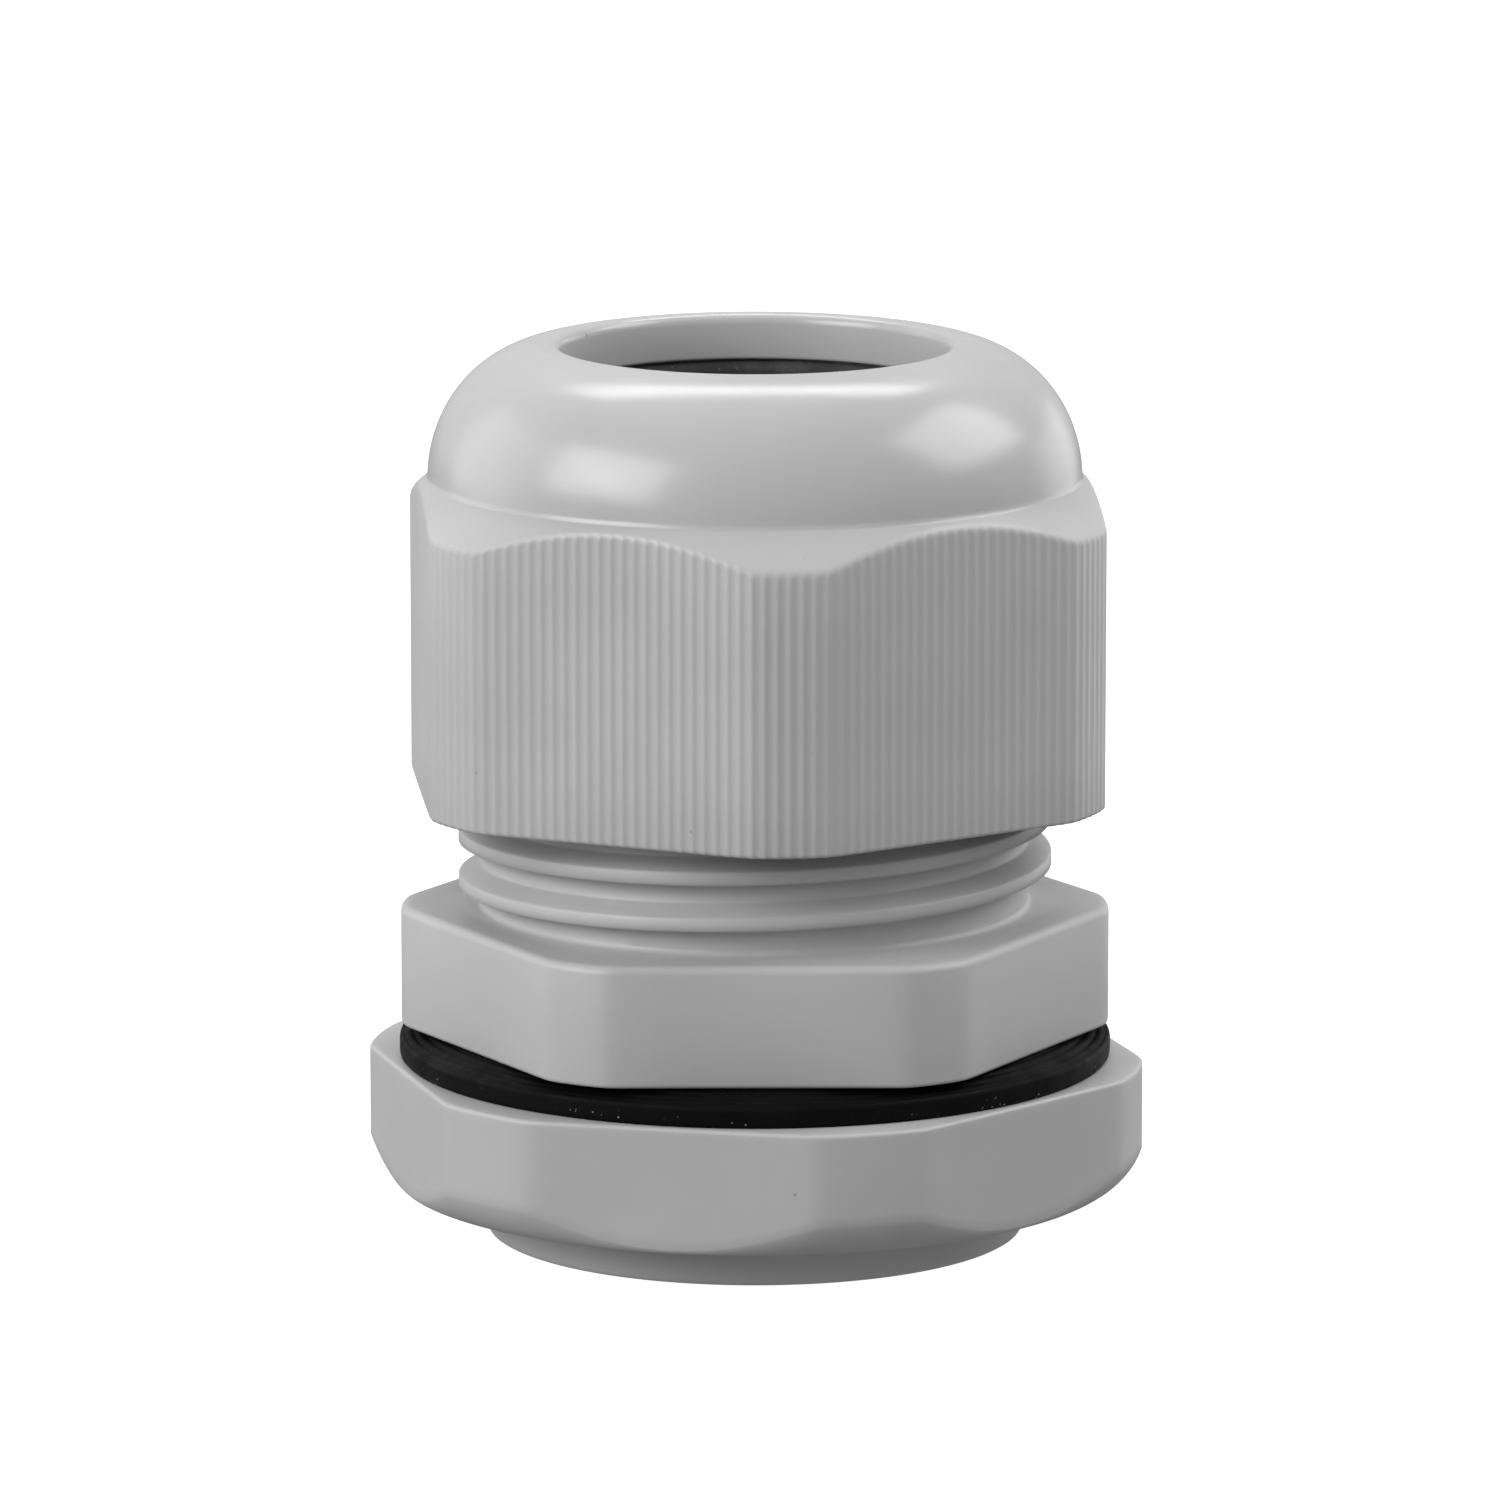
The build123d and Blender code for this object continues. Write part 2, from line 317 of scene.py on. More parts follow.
def thread_grid(theta, shape, pitch, phase, bottom, top, start=None, finish=None):
    """A helical wall between two heights: the radius follows a profile of height above the
    helix, repeated every pitch, and each row of points climbs one pitch per turn.

    shape is (root radius, crest radius, lower flank, crest, upper flank). The thread grows
    out of its root where its foot passes the start height, and dies away at the finish.
    Returns the grid and the number of rows per turn.
    """
    root_r, crest_r, low, crest, high = shape
    rounding = THREAD_ROUNDING * abs(crest_r - root_r)
    corners = np.array([0, low, low + crest, low + crest + high])
    slope = np.array([0, low, low + crest, low + crest + high, pitch], float)
    reach = np.array([root_r, crest_r, crest_r, root_r, root_r], float)
    between = (corners + np.append(corners[1:], pitch)) / 2
    offsets = np.unique(np.concatenate(
        [corners - rounding, corners, corners + rounding, between]))
    nearby = np.linspace(-rounding, rounding, 7)

    def radius_at(above):
        turned_round = (above[..., None] + nearby) % pitch
        return np.interp(turned_round, slope, reach).mean(-1)

    first = math.floor((bottom - phase) / pitch) - 2
    last = math.ceil((top - phase) / pitch) + 1
    starts = phase + pitch * np.arange(first, last)
    rows = (starts[:, None] + offsets[None, :]).ravel()
    climb = pitch * theta / TAU
    z = np.clip(rows[:, None] + climb[None, :], bottom, top)
    above = (z - phase - climb[None, :] + 2 * rounding) % pitch - 2 * rounding
    foot = z - above
    r = radius_at(above)
    share = np.ones_like(z)
    if start is not None:
        share = share * smooth_step((foot - start) / (THREAD_FADE * pitch))
    if finish is not None:
        share = share * smooth_step((finish - foot) / (THREAD_FADE * pitch))
    r = root_r + (r - root_r) * share
    return np.stack([r * np.cos(theta), r * np.sin(theta), z], -1), len(offsets)


def widened(shape, shift, play):
    """The thread cut in a nut: the same shape moved outwards and widened by the play."""
    root_r, crest_r, low, crest, high = shape
    return root_r + shift, crest_r + shift, low, crest + 2 * play, high


ENTRY_THREAD = (ENTRY_ROOT_R, ENTRY_CREST_R, ENTRY_FLANK, ENTRY_CREST, ENTRY_FLANK)
NUT_THREAD = (NUT_ROOT_R, NUT_CREST_R, NUT_LOW_FLANK, NUT_CREST, NUT_HIGH_FLANK)


# ---- Pieces -----------------------------------------------------------------
def gland_body():
    """The body: lead, fine thread, hexagon, coarse thread and mouth outside, bore inside."""
    def side(theta):
        return hex_radius(theta, BODY_FLATS, BODY_CORNER_R, BODY_CORNER_ANGLE)

    theta = even_angles(side, COLUMNS)
    shell = Shell()
    hex_top = HEX_BOTTOM + HEX_HEIGHT
    foot = shell.strip(turned(outline(
        [(PASSAGE_R, 4), (PASSAGE_R, 0.0), (LEAD_R, 0.0), (LEAD_R, LEAD_HEIGHT)],
        [0, 0.6, 0.45, 0]), theta))
    grid, turn = thread_grid(theta, ENTRY_THREAD, ENTRY_PITCH, LEAD_HEIGHT,
                             LEAD_HEIGHT + 0.05, HEX_BOTTOM - 0.3, start=LEAD_HEIGHT)
    entry = shell.thread(grid, turn)
    radius = side(theta)
    inset_low, level_low = edge_round(HEX_LOW_ROUND, HEX_BOTTOM, -1)
    inset_high, level_high = edge_round(HEX_HIGH_ROUND, hex_top, 1)
    insets = np.concatenate([[3.2, 1.2], inset_low[::-1], inset_high, [0.8, 1.6, 2.3]])
    levels = np.concatenate([[HEX_BOTTOM] * 2, level_low[::-1], level_high, [hex_top] * 3])
    flange = shell.strip(contour_rows(radius, insets, levels, theta))
    grid, turn = thread_grid(theta, NUT_THREAD, NUT_PITCH, NUT_PHASE,
                             hex_top + 0.35, NUT_THREAD_TOP, NUT_START, NUT_FINISH)
    root_ring = grid[0]
    outwards = root_ring[:, :2] / np.linalg.norm(root_ring[:, :2], axis=1)[:, None]
    fillet = np.stack([
        np.column_stack([root_ring[:, :2] + outwards * out, np.full(COLUMNS, hex_top + up)])
        for out, up in ((0.35, 0.0), (0.12, 0.1))])
    ring = shell.strip(fillet)
    coarse = shell.thread(grid, turn)
    mouth = shell.strip(turned(outline(
        [(NUT_ROOT_R, NUT_THREAD_TOP + 0.05), (NUT_ROOT_R - 0.3, CLAW_ROOT), (SEAT_R, CLAW_ROOT),
         (SEAT_R, SEAL_BOTTOM), (PASSAGE_R, SEAL_BOTTOM), (PASSAGE_R, 20.0), (PASSAGE_R, 8.0)],
        [0, 0.15, 0.2, 0.1, 0.2, 0, 0]), theta))
    shell.join(foot[-1], entry[0])
    shell.join(entry[-1], flange[0])
    shell.join(flange[-1], ring[0])
    shell.join(ring[-1], coarse[0])
    shell.join(coarse[-1], mouth[0])
    shell.join(mouth[-1], foot[0])
    return shell.piece("gland_body_moulding")


def dome_nut():
    """The dome nut: ribbed flats cut off by a cone, an elliptical dome and a threaded bore."""
    def side(theta):
        return hex_radius(theta, DOME_NUT_FLATS, DOME_NUT_CORNER_R, DOME_NUT_CORNER_ANGLE)

    columns = COLUMNS * RIB_COLUMNS
    fine = even_angles(side, columns)
    theta = fine[::RIB_COLUMNS]
    cone_r = DOME_BASE_R + 0.1
    rib = np.arange(columns) / columns * RIBS * TAU
    groove = ((1 - np.cos(rib)) / 2) ** RIB_SHARPNESS
    radius = side(fine) - RIB_DEPTH * (1 - groove)
    plain = side(fine) - RIB_DEPTH * 0.5

    def brim(r):
        """The height of the cone that cuts off the flats, at each radius."""
        return DOME_BASE - (r - cone_r) * SHOULDER_SLOPE

    bottom_inset, bottom_level = edge_round(NUT_LOW_ROUND, NUT_BOTTOM, -1)
    rows = []
    for inset, level in zip(bottom_inset[::-1], bottom_level[::-1]):
        rows.append((radius - inset, np.full(columns, level)))
    edge = SHOULDER_ROUND
    for share in np.linspace(0, 1, 6)[1:]:
        height = bottom_level[0] + (brim(radius) - edge - bottom_level[0]) * share
        rows.append((radius, height))
    # The ribs melt into the smooth cone over the rounded edge between them.
    along = math.hypot(1, SHOULDER_SLOPE)
    for t in np.linspace(0, 1, 6)[1:]:
        run = edge * t * t / along
        melted = radius + (plain - radius) * t
        rows.append((melted - run, brim(melted) - edge * (1 - t) ** 2 + run * SHOULDER_SLOPE))
    start_r, start_z = rows[-1]
    for share in np.linspace(0, 1, 6)[1:-1]:
        out = start_r + (cone_r + 0.12 - start_r) * share
        rows.append((out, start_z + (DOME_BASE - 0.11 - start_z) * share))
    r = np.stack([row[0] for row in rows])
    z = np.stack([row[1] for row in rows])
    skirt = np.stack([r * np.cos(fine), r * np.sin(fine), z], -1)

    quarter = np.linspace(0, math.pi / 2, 34)
    dome = np.column_stack([
        DOME_CENTRE_R + (DOME_BASE_R - DOME_CENTRE_R) * np.cos(quarter),
        DOME_BASE + DOME_HEIGHT * np.sin(quarter)])
    valley = np.array([[cone_r + 0.02, DOME_BASE - 0.02], [DOME_BASE_R + 0.03, DOME_BASE + 0.06]])
    wall_r = NUT_CREST_R + NUT_CLEARANCE
    cone_foot_r = CONE_TOP_R + (CONE_TOP - BORE_TOP) * CONE_SLOPE
    inside = outline(
        [(DOME_CENTRE_R - 0.03, DOME_TOP), (MOUTH_R, DOME_TOP), (MOUTH_R, DOME_TOP - MOUTH_LAND),
         (CONE_TOP_R, DOME_TOP - MOUTH_LAND), (CONE_TOP_R, CONE_TOP), (cone_foot_r, BORE_TOP),
         (wall_r, BORE_TOP)],
        [0, LIP_R, 0.25, 0.3, 0.5, 0.1, 0])
    top = np.concatenate([valley, dome[1:], inside])
    shell = Shell()
    skirt_index = shell.strip(skirt)
    top_index = shell.strip(turned(top, theta))
    grid, turn = thread_grid(theta, widened(NUT_THREAD, NUT_CLEARANCE, NUT_PLAY), NUT_PITCH,
                             NUT_PHASE - NUT_PLAY, NUT_BOTTOM + 0.6, BORE_TOP - 0.05)
    thread = shell.thread(grid, turn)
    mouth = shell.strip(turned(outline(
        [(wall_r + 0.1, NUT_BOTTOM + 0.55), (wall_r + 0.6, NUT_BOTTOM),
         (wall_r + 1.2, NUT_BOTTOM)],
        [0, 0.2, 0]), theta))
    shell.join(skirt_index[-1], top_index[0])
    shell.join(top_index[-1], thread[-1])
    shell.join(thread[0], mouth[0])
    shell.join(mouth[-1], skirt_index[0])
    return shell.piece("dome_nut_moulding")


def locknut():
    """The locknut: a hexagonal ring whose lower corners are turned off to a cone."""
    def side(theta):
        return hex_radius(theta, LOCKNUT_FLATS, LOCKNUT_CORNER_R, LOCKNUT_CORNER_ANGLE)

    theta = even_angles(side, COLUMNS)
    radius = side(theta)
    shell = Shell()
    # The foot lies just inside the turned radius, so the cut is deepest at the corners.
    low_r = np.minimum(radius, LOCKNUT_TURNED_R) - 0.08
    depth = (radius - low_r) * TURNED_SLOPE * TURNED_SPREAD
    high_round = LOCKNUT_HIGH_ROUND
    wall_low, wall_high = LOCKNUT_BOTTOM + depth, LOCKNUT_TOP - high_round
    rows = [(low_r - 2.5, LOCKNUT_BOTTOM), (low_r - 0.3, LOCKNUT_BOTTOM)]
    for share in np.linspace(0, 1, 9):
        turn = share * math.pi / 2
        across = 0.5 * share + 0.5 * math.sin(turn)
        up = 0.5 * share + 0.5 * (1 - math.cos(turn))
        rows.append((low_r + (radius - low_r) * across, LOCKNUT_BOTTOM + depth * up))
    for share in (0.1, 0.4, 0.7, 0.95):
        rows.append((radius, wall_low + (wall_high - wall_low) * share))
    for turn in np.linspace(0, 1, 6) * math.pi / 2:
        rows.append((radius - high_round * (1 - math.cos(turn)),
                     LOCKNUT_TOP - high_round * (1 - math.sin(turn))))
    rows += [(radius - 0.9, LOCKNUT_TOP), (radius - 3.0, LOCKNUT_TOP)]
    r = np.stack([np.broadcast_to(row[0], theta.shape) for row in rows])
    z = np.stack([np.broadcast_to(row[1], theta.shape) for row in rows])
    ring = shell.strip(np.stack([r * np.cos(theta), r * np.sin(theta), z], -1))
    wall_r = ENTRY_CREST_R + ENTRY_CLEARANCE
    upper = shell.strip(turned(outline(
        [(wall_r + 1.0, LOCKNUT_TOP), (wall_r + 0.5, LOCKNUT_TOP),
         (wall_r + 0.1, LOCKNUT_TOP - 0.5)],
        [0, 0.15, 0]), theta))
    thread, turn_rows = thread_grid(theta, widened(ENTRY_THREAD, ENTRY_CLEARANCE, ENTRY_PLAY),
                                    ENTRY_PITCH, LEAD_HEIGHT - ENTRY_PLAY,
                                    LOCKNUT_BOTTOM + 0.55, LOCKNUT_TOP - 0.55)
    bore = shell.thread(thread, turn_rows)
    lower = shell.strip(turned(outline(
        [(wall_r + 0.1, LOCKNUT_BOTTOM + 0.5), (wall_r + 0.5, LOCKNUT_BOTTOM),
         (wall_r + 1.0, LOCKNUT_BOTTOM)], [0, 0.15, 0]), theta))
    shell.join(ring[-1], upper[0])
    shell.join(upper[-1], bore[-1])
    shell.join(bore[0], lower[0])
    shell.join(lower[-1], ring[0])
    return shell.piece("locknut_moulding")


def washer():
    """The sealing washer: a flat rubber ring with a straight wall and a sloping ridged top."""
    flat_r = BODY_FLATS / 2
    radii = np.linspace(WASHER_R - 0.15, WASHER_BORE_R, 56)
    fall = WASHER_FALL * smooth_step((radii - flat_r + 0.6) / (WASHER_R - flat_r + 0.6))
    ridge = (WASHER_R - radii) / WASHER_RIDGE_PITCH * TAU
    wave = WASHER_RIDGE_DEPTH * (0.5 - 0.5 * np.cos(ridge)) ** 2
    top = np.column_stack([radii, HEX_BOTTOM - 0.005 - fall - wave])
    lower = np.array([(WASHER_BORE_R, WASHER_BOTTOM + 0.01), (20.8, WASHER_BOTTOM + 0.01),
                      (WASHER_R - 0.4, WASHER_BOTTOM + 0.01)])
    wall_top = top[0, 1]
    middle = (wall_top + WASHER_BOTTOM) / 2
    thick = (wall_top - WASHER_BOTTOM) / 2
    bulge = np.linspace(-1, 1, 13)
    rim = np.column_stack([WASHER_R - 0.16 * np.abs(bulge) ** 6, middle + bulge * (thick - 0.02)])
    profile = np.concatenate([rim, top[1:], lower])
    theta = np.arange(COLUMNS) / COLUMNS * TAU
    shell = Shell()
    ring = shell.strip(turned(profile, theta))
    shell.join(ring[-1], ring[0])
    return shell.piece("sealing_washer_ring")


def seal():
    """The seal insert: a rubber sleeve with five grooves in its bore and a collar on top."""
    def cone(height):
        """The collar's radius at a height, just clear of the cone inside the dome nut."""
        return CONE_TOP_R + (CONE_TOP - height) * CONE_SLOPE - 0.2

    collar = CLAW_ROOT + FINGER_HEIGHT + 0.5
    bevel_z = SEAL_TOP - COLLAR_BEVEL
    outside = outline(
        [(SEAL_R + 0.2, SEAL_BOTTOM), (SEAT_R - 0.15, SEAL_BOTTOM),
         (SEAL_OUTER_R - 0.05, CLAW_ROOT), (SEAL_OUTER_R, collar),
         (cone(collar), collar), (cone(bevel_z), bevel_z),
         (CONE_TOP_R - 0.6, SEAL_TOP), (SEAL_R + 0.4, SEAL_TOP), (SEAL_R, SEAL_TOP - 0.5)],
        [0, 0.3, 0.3, 0.2, 0.4, 0.3, 0.3, 0.2, 0])
    step = (SEAL_TOP - SEAL_BOTTOM) / (SEAL_GROOVES + 1)
    bore_z = np.linspace(SEAL_TOP - 0.7, SEAL_BOTTOM + 0.2, 90)
    nearest = np.abs((bore_z - SEAL_BOTTOM + step / 2) % step - step / 2)
    across = 1 - (nearest / SEAL_GROOVE_HALF_WIDTH) ** 2
    cut = np.where((bore_z > SEAL_BOTTOM + step / 2) & (bore_z < SEAL_TOP - step / 2),
                   SEAL_GROOVE_DEPTH * np.sqrt(np.clip(across, 0, 1)), 0)
    inside = np.column_stack([SEAL_R + cut, bore_z])
    theta = np.arange(COLUMNS // 2) / (COLUMNS // 2) * TAU
    shell = Shell()
    ring = shell.strip(turned(np.concatenate([outside, inside]), theta))
    shell.join(ring[-1], ring[0])
    return shell.piece("seal_insert_sleeve")


def claw_finger(number):
    """A claw finger: one outline in the half plane through the axis, carried across the
    finger's width, narrower towards the tip and drawn in at both sides to round its edges."""
    half = FINGER_THICK / 2
    bevel = half / CONE_SLOPE
    root = [(FINGER_R + half * math.cos(a), CLAW_ROOT + half * math.sin(a))
            for a in np.linspace(math.pi, TAU, 13)[1:-1]]
    loop = outline(
        [(FINGER_R - half, CLAW_ROOT)] + root + [
            (FINGER_R + half, CLAW_ROOT), (FINGER_R + half, CLAW_ROOT + 5),
            (FINGER_R + half, CLAW_ROOT + FINGER_HEIGHT - bevel),
            (FINGER_R, CLAW_ROOT + FINGER_HEIGHT), (FINGER_R - half, CLAW_ROOT + FINGER_HEIGHT),
            (FINGER_R - half, CLAW_ROOT + 5)],
        [0] * 12 + [0, 0, 0.4, 0.15, 0.35, 0], closed=True)
    edge = FINGER_EDGE
    quarter = np.linspace(0, math.pi / 2, 5)
    low = [(-1, -edge * math.cos(a), edge * (1 - math.sin(a))) for a in quarter]
    high = [(1, edge * math.cos(a), edge * (1 - math.sin(a))) for a in quarter[::-1]]
    up = np.clip((loop[:, 1] - CLAW_ROOT) / FINGER_HEIGHT, 0, 1)
    half_width = (FINGER_ROOT_WIDTH + (FINGER_TIP_WIDTH - FINGER_ROOT_WIDTH) * up) / 2
    from_middle = loop[:, 0] - FINGER_R
    angle = number * TAU / FINGERS
    rows = []
    for side, beyond, inset in low + [(0, 0, 0)] + high:
        r = loop[:, 0] - np.sign(from_middle) * np.minimum(np.abs(from_middle), inset)
        y = side * (half_width - edge) + beyond
        z = np.minimum(loop[:, 1], CLAW_ROOT + FINGER_HEIGHT - inset)
        rows.append(np.column_stack([r * math.cos(angle) - y * math.sin(angle),
                                     r * math.sin(angle) + y * math.cos(angle), z]))
    shell = Shell()
    index = shell.strip(np.stack(rows))
    shell.faces += [index[0].tolist(), index[-1][::-1].tolist()]
    return shell.piece(f"claw_finger_{number + 1:02d}_moulding")


# ---- Materials --------------------------------------------------------------
NYLON_DEEP = (0.405, 0.405, 0.405)
NYLON_PALE = (0.445, 0.445, 0.445)
NYLON_FLECK = (0.60, 0.60, 0.60)
NYLON_DIRT = (0.14, 0.14, 0.14)
RUBBER_DUST = (0.42, 0.42, 0.42)
DOME_GLOSS = 0.24    # how much smoother the dome is than the flats


class Finish:
    """A material's node tree, with short calls for the nodes that the finishes share."""

    def __init__(self, name):
        self.material = bpy.data.materials.new(name)
        self.material.use_nodes = True
        self.tree = self.material.node_tree
        self.shader = self.tree.nodes["Principled BSDF"]
        self.place = self.tree.nodes.new("ShaderNodeTexCoord").outputs["Object"]

    def link(self, source, target):
        self.tree.links.new(source, target)

    def scaled(self, x, y, z):
        """Object coordinates stretched along each axis."""
        node = self.tree.nodes.new("ShaderNodeMapping")
        node.inputs["Scale"].default_value = (x, y, z)
        self.link(self.place, node.inputs["Vector"])
        return node.outputs["Vector"]

    def noise(self, scale, detail=3.0, roughness=0.5, vector=None):
        node = self.tree.nodes.new("ShaderNodeTexNoise")
        node.inputs["Scale"].default_value = scale
        node.inputs["Detail"].default_value = detail
        node.inputs["Roughness"].default_value = roughness
        self.link(vector or self.place, node.inputs["Vector"])
        return node.outputs["Fac"]

    def cells(self, scale, vector=None):
        """Distance to the nearest of many scattered points."""
        node = self.tree.nodes.new("ShaderNodeTexVoronoi")
        node.inputs["Scale"].default_value = scale
        self.link(vector or self.place, node.inputs["Vector"])
        return node.outputs["Distance"]

    def between(self, value, low, high, to_low=0.0, to_high=1.0):
        """Maps a value from one range to another, with a soft start and end."""
        node = self.tree.nodes.new("ShaderNodeMapRange")
        node.interpolation_type = "SMOOTHSTEP"
        for name, number in (("From Min", low), ("From Max", high),
                             ("To Min", to_low), ("To Max", to_high)):
            node.inputs[name].default_value = number
        self.link(value, node.inputs["Value"])
        return node.outputs["Result"]

    def sums(self, operation, first, second):
        node = self.tree.nodes.new("ShaderNodeMath")
        node.operation = operation
        for slot, value in zip(node.inputs, (first, second)):
            if isinstance(value, (int, float)):
                slot.default_value = value
            else:
                self.link(value, slot)
        return node.outputs["Value"]

    def mix(self, factor, first, second):
        """A colour between two, each one a colour or another node's output."""
        node = self.tree.nodes.new("ShaderNodeMix")
        node.data_type = "RGBA"
        self.link(factor, node.inputs["Factor"])
        for slot, value in ((node.inputs[6], first), (node.inputs[7], second)):
            if isinstance(value, tuple):
                slot.default_value = (*value, 1.0)
            else:
                self.link(value, slot)
        return node.outputs[2]

    def bump(self, height, distance, strength=1.0, under=None):
        node = self.tree.nodes.new("ShaderNodeBump")
        node.inputs["Distance"].default_value = distance * MM
        node.inputs["Strength"].default_value = strength
        self.link(height, node.inputs["Height"])
        if under is not None:
            self.link(under, node.inputs["Normal"])
        return node.outputs["Normal"]

    def height_share(self, low, high):
        """0 below one height on the piece and 1 above another, in millimetres."""
        node = self.tree.nodes.new("ShaderNodeSeparateXYZ")
        self.link(self.place, node.inputs["Vector"])
        return self.between(node.outputs["Z"], low * MM, high * MM)


def nylon(name, rough, seed, gloss_from=None):
    """Moulded grey nylon: cloudy colour, a fine satin grain, faint flow marks and stray dust.

    gloss_from is a low and a high height, between which the satin turns to the dome's gloss.
    """
    f = Finish(name)
    shifted = f.tree.nodes.new("ShaderNodeMapping")
    shifted.inputs["Location"].default_value = (seed, seed * 0.7, seed * 1.3)
    f.link(f.place, shifted.inputs["Vector"])
    f.place = shifted.outputs["Vector"]
    plain = f.tree.nodes.new("ShaderNodeTexCoord").outputs["Object"]
    cloud = f.between(f.noise(70, 4), 0.3, 0.7)
    tone = f.mix(cloud, NYLON_DEEP, NYLON_PALE)
    fleck = f.between(f.noise(2600, 2), 0.72, 0.80)
    tone = f.mix(f.sums("MULTIPLY", fleck, 0.16), tone, NYLON_FLECK)
    dust = f.between(f.cells(420), 0.055, 0.035)
    rare = f.between(f.noise(310, 1), 0.60, 0.64)
    speck = f.sums("MULTIPLY", f.sums("MULTIPLY", dust, rare), 0.55)
    tone = f.mix(speck, tone, NYLON_DIRT)
    f.link(tone, f.shader.inputs["Base Color"])
    smear = f.between(f.noise(190, 3, 0.5), 0.2, 0.8, rough - 0.02, rough + 0.03)
    if gloss_from:
        f.place = plain
        dome = f.height_share(*gloss_from)
        smear = f.sums("SUBTRACT", smear, f.sums("MULTIPLY", dome, DOME_GLOSS))
        f.place = shifted.outputs["Vector"]
    f.link(smear, f.shader.inputs["Roughness"])
    grain = f.bump(f.noise(3800, 3, 0.6), 0.010, 0.5)
    flow = f.bump(f.noise(60, 3, 0.5, f.scaled(1.0, 1.0, 3.5)), 0.05, 0.35, grain)
    f.link(flow, f.shader.inputs["Normal"])
    f.shader.inputs["IOR"].default_value = 1.53
    f.shader.inputs["Subsurface Weight"].default_value = 0.06
    f.shader.inputs["Subsurface Radius"].default_value = (1.0, 0.95, 0.9)
    f.shader.inputs["Subsurface Scale"].default_value = 0.0012
    return f.material


def rubber(name, black, dusty, dust_band=None):
    """Black rubber: a dull grain, rubbed patches and pale dust specks.

    dust_band is a low and a high height: specks lie below it and thin out through it.
    """
    f = Finish(name)
    worn = f.between(f.noise(240, 5, 0.65), 0.45, 0.8)
    tone = f.mix(worn, (black,) * 3, (2.2 * black,) * 3)
    grit = f.between(f.cells(2300), 0.19, 0.08)
    patch = f.between(f.noise(420, 3), 0.50, 0.60)
    speck = f.sums("MULTIPLY", f.sums("MULTIPLY", grit, patch), dusty)
    if dust_band:
        low = f.sums("SUBTRACT", 1.0, f.height_share(*dust_band))
        speck = f.sums("MULTIPLY", speck, low)
    tone = f.mix(speck, tone, RUBBER_DUST)
    f.link(tone, f.shader.inputs["Base Color"])
    f.link(f.between(f.noise(500, 4), 0.3, 0.7, 0.50, 0.68), f.shader.inputs["Roughness"])
    f.link(f.bump(f.noise(2300, 4, 0.6), 0.03, 0.6), f.shader.inputs["Normal"])
    f.shader.inputs["IOR"].default_value = 1.50
    f.shader.inputs["Specular IOR Level"].default_value = 0.08
    return f.material


# ---- Assembly ---------------------------------------------------------------
def fit(piece, material, body, slot, *nodes):
    """Gives a piece its material and its body, and hides the nodes that it stands for; slot is
    not used.
    """
    piece.data.materials.append(material)
    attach(piece, body)
    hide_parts(*nodes)
    return piece


body_nylon = nylon("body_nylon", 0.46, 0.0)
dome_nylon = nylon("dome_nylon", 0.48, 0.31, gloss_from=(DOME_BASE - 1.5, DOME_BASE + 0.6))
locknut_nylon = nylon("locknut_nylon", 0.46, 0.57)
claw_nylon = nylon("claw_nylon", 0.44, 0.83)
seal_rubber = rubber("seal_rubber", 0.045, 0.2)
washer_rubber = rubber("washer_rubber", 0.0018, 0.6,
                       (WASHER_BOTTOM + 0.3, WASHER_BOTTOM + 1.0))

fit(gland_body(), body_nylon, "gland_body", "body_nylon", "gland_body")
fit(dome_nut(), dome_nylon, "dome_nut", "dome_nylon", "dome_nut")
fit(locknut(), locknut_nylon, "locknut", "locknut_nylon", "locknut")
fit(washer(), washer_rubber, "sealing_washer", "washer_rubber", "sealing_washer")
sleeve = fit(seal(), seal_rubber, "seal_insert", "seal_rubber", "seal_insert")
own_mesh(sleeve)
for number in range(FINGERS):
    node = f"claw_finger_{number + 1:02d}"
    fit(claw_finger(number), claw_nylon, node, "claw_nylon", node)


# ---- Floor, light and camera ------------------------------------------------
def floor():
    """A wide, evenly lit white floor under the gland, which throws no light back on it."""
    size = 3000.0
    corners = np.array([(-size, -size, 0), (size, -size, 0), (size, size, 0), (-size, size, 0)])
    piece = mesh_piece("floor", corners + (0, 0, BODY_BOTTOM - 0.02), [[0, 1, 2, 3]])
    f = Finish("floor_white")
    f.shader.inputs["Base Color"].default_value = (0.30, 0.30, 0.30, 1)
    f.shader.inputs["Roughness"].default_value = 0.9
    f.shader.inputs["Specular IOR Level"].default_value = 0.1
    f.shader.inputs["Emission Color"].default_value = (1, 1, 1, 1)
    f.shader.inputs["Emission Strength"].default_value = 0.96
    piece.data.materials.append(f.material)
    piece.visible_diffuse = False
    piece.visible_glossy = False


def softbox(name, place, size, power, target=(0, 0, 0.03)):
    """A rectangular area light aimed at the gland; sizes and places in metres."""
    light = bpy.data.lights.new(name, "AREA")
    light.shape = "RECTANGLE"
    light.size, light.size_y = size
    light.energy = power
    lamp = bpy.data.objects.new(name, light)
    lamp.location = place
    away = np.array(place) - np.array(target)
    reach = np.linalg.norm(away)
    yaw = math.atan2(away[0], -away[1])
    lamp.rotation_euler = (math.acos(away[2] / reach), 0, yaw)
    bpy.context.scene.collection.objects.link(lamp)


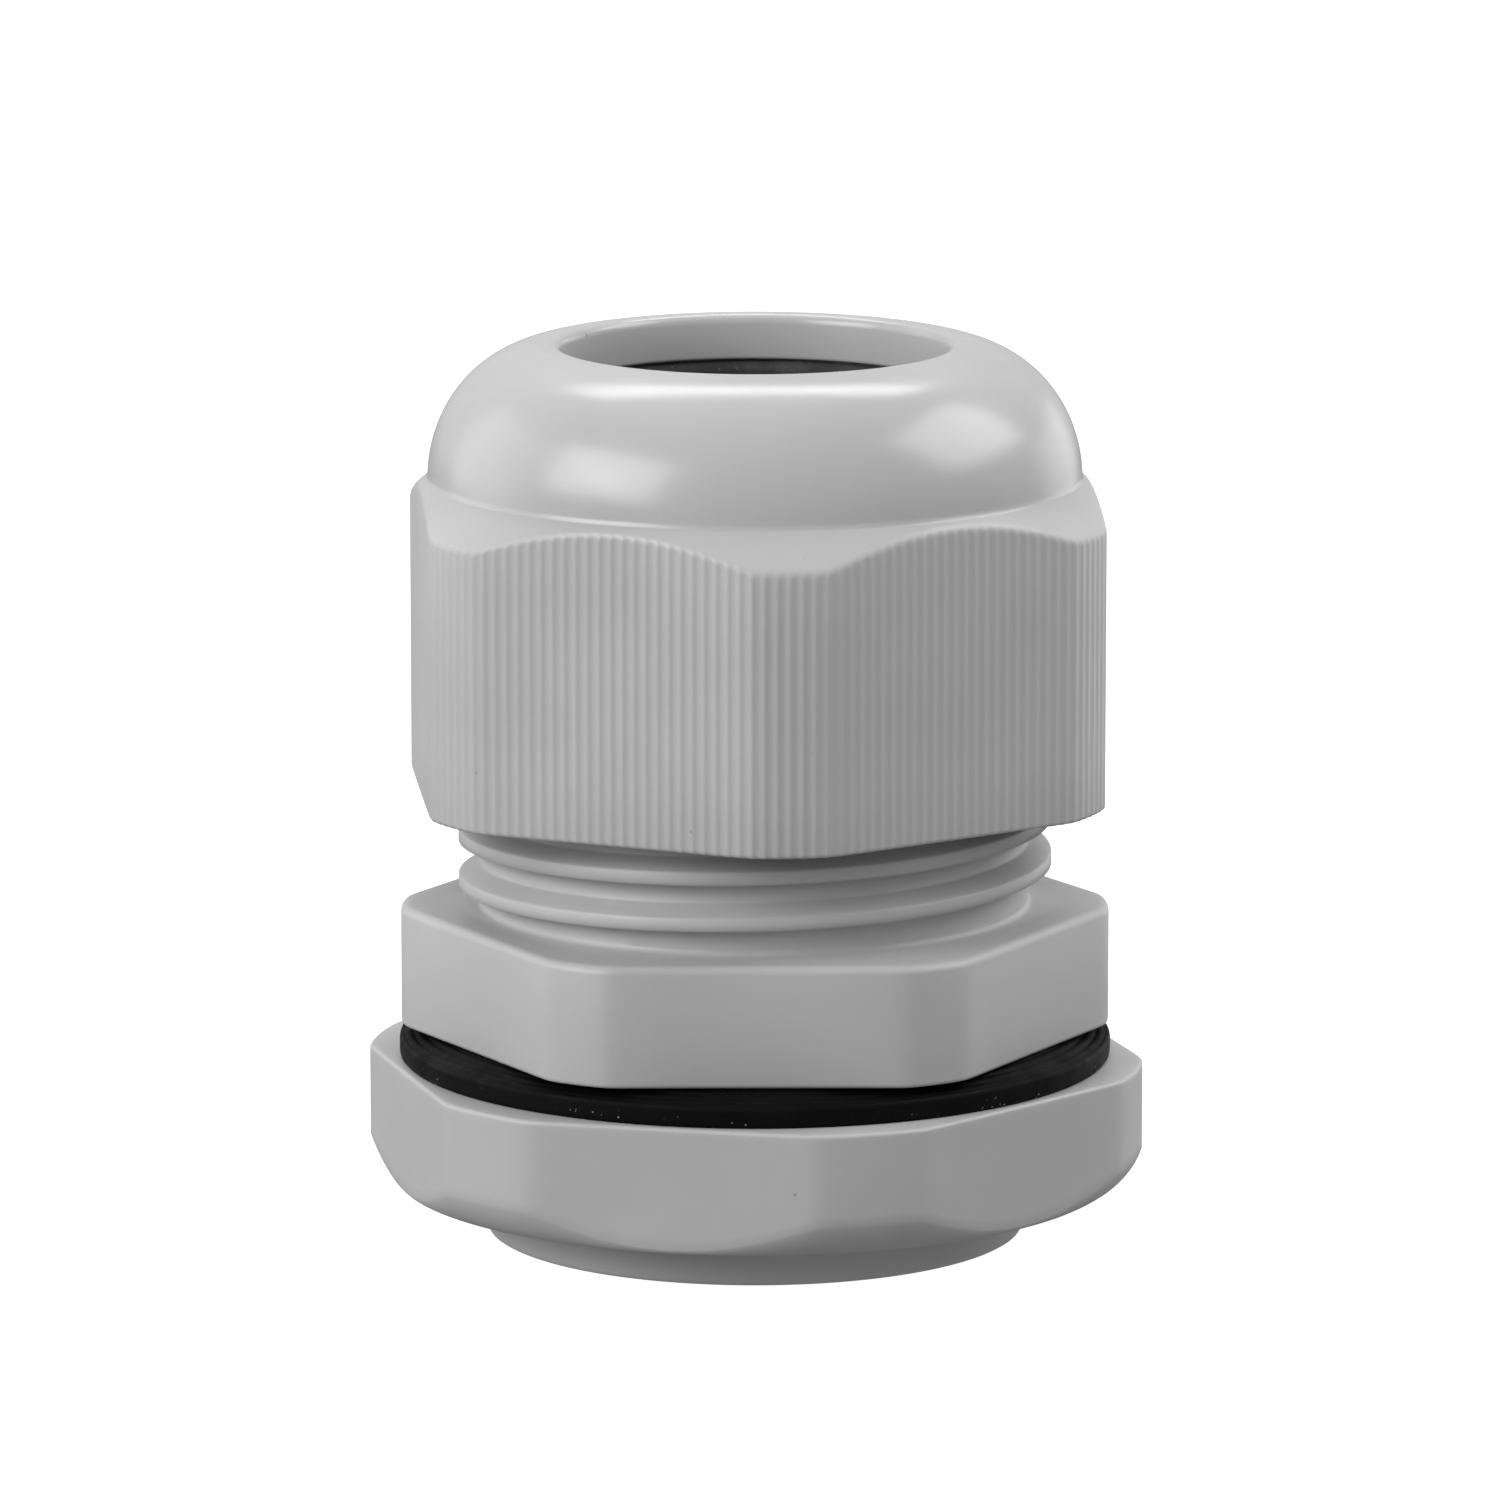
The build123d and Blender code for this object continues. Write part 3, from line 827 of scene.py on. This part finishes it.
def room(above, below):
    """The room's even light: one strength over the gland and another from the table below."""
    world = bpy.data.worlds.new("room")
    world.use_nodes = True
    tree = world.node_tree
    place = tree.nodes.new("ShaderNodeTexCoord")
    split = tree.nodes.new("ShaderNodeSeparateXYZ")
    level = tree.nodes.new("ShaderNodeMapRange")
    level.interpolation_type = "SMOOTHSTEP"
    for name, number in (("From Min", -0.12), ("From Max", 0.02),
                         ("To Min", below), ("To Max", above)):
        level.inputs[name].default_value = number
    tree.links.new(place.outputs["Generated"], split.inputs["Vector"])
    tree.links.new(split.outputs["Z"], level.inputs["Value"])
    tree.links.new(level.outputs["Result"], tree.nodes["Background"].inputs["Strength"])
    tree.nodes["Background"].inputs["Color"].default_value = (1, 1, 1, 1)
    bpy.context.scene.world = world


def studio():
    """Soft boxes round the gland: a broad one with a small lamp in it on the left, a strip
    overhead and a broad one on the right, which the dome mirrors, and two behind for edges."""
    room(above=0.58, below=0.26)
    softbox("left_box", (-0.47, -0.31, 0.30), (0.46, 0.34), 2.7)
    softbox("left_lamp", (-0.44, -0.30, 0.25), (0.08, 0.025), 0.07)
    softbox("left_back_box", (-0.60, 0.22, 0.20), (0.50, 0.45), 0.8)
    softbox("top_back_box", (-0.02, 0.33, 0.56), (0.50, 0.16), 1.4)
    softbox("right_top_box", (0.48, 0.05, 0.40), (0.46, 0.34), 2.1)
    softbox("right_back_box", (0.55, 0.60, 0.05), (0.45, 0.35), 0.6)


def camera():
    """A long lens nearly 0.7 m away, looking down a little at the front."""
    distance, elevation, aim = 0.6922, math.radians(10.82), 0.0316
    data = bpy.data.cameras.new("camera")
    data.sensor_width = 36.0
    data.lens = 255.5
    data.shift_x = -0.0033
    data.clip_start, data.clip_end = 0.01, 50
    eye = bpy.data.objects.new("camera", data)
    eye.location = (0, -distance * math.cos(elevation), aim + distance * math.sin(elevation))
    eye.rotation_euler = (math.pi / 2 - elevation, 0, 0)
    bpy.context.scene.collection.objects.link(eye)
    bpy.context.scene.camera = eye


floor()
studio()
camera()
bpy.context.scene.view_settings.view_transform = "Standard"
